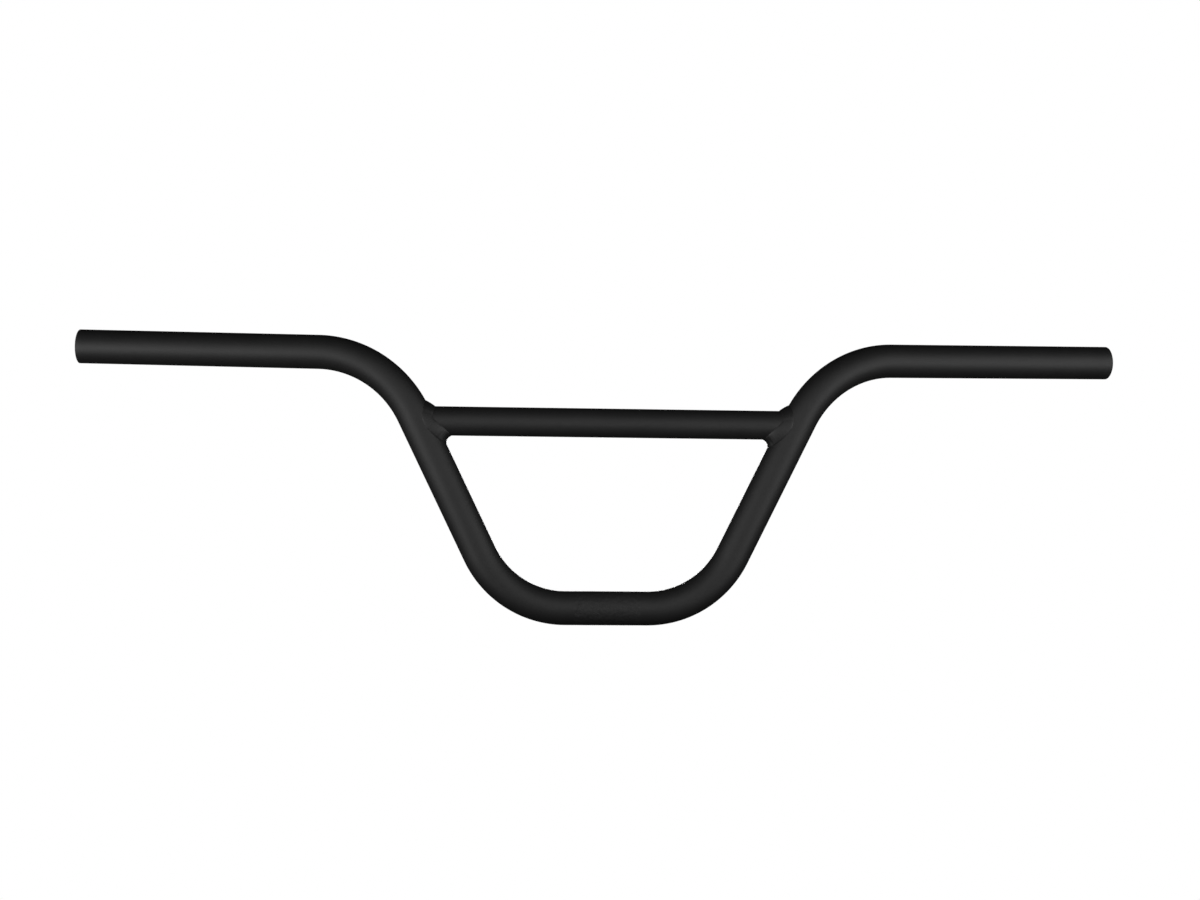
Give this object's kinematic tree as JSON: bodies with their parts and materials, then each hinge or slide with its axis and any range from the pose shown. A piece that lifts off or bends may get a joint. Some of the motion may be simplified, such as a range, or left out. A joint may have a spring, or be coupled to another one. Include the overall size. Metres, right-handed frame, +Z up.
{
  "type": "bicycle handlebar",
  "caption": "High-rise bicycle handlebar: one bent steel tube with a welded crossbar between its uprights, matt black, with open ends for grips and end plugs.",
  "frame": {"origin": "centre of the straight that the stem clamps, on the axis of the tube", "axes": "+X across the bar to one grip, +Y back the way the grips sweep towards the rider, +Z up to the crossbar"},
  "size_m": [0.6936, 0.057, 0.1892],
  "materials": {
    "black_powder_coat": "matt black powder coat on steel tube"
  },
  "bodies": {
    "root": {"main_tube": "black_powder_coat", "crossbar": "black_powder_coat", "weld_left": "black_powder_coat", "weld_right": "black_powder_coat"}
  },
  "joints": []
}
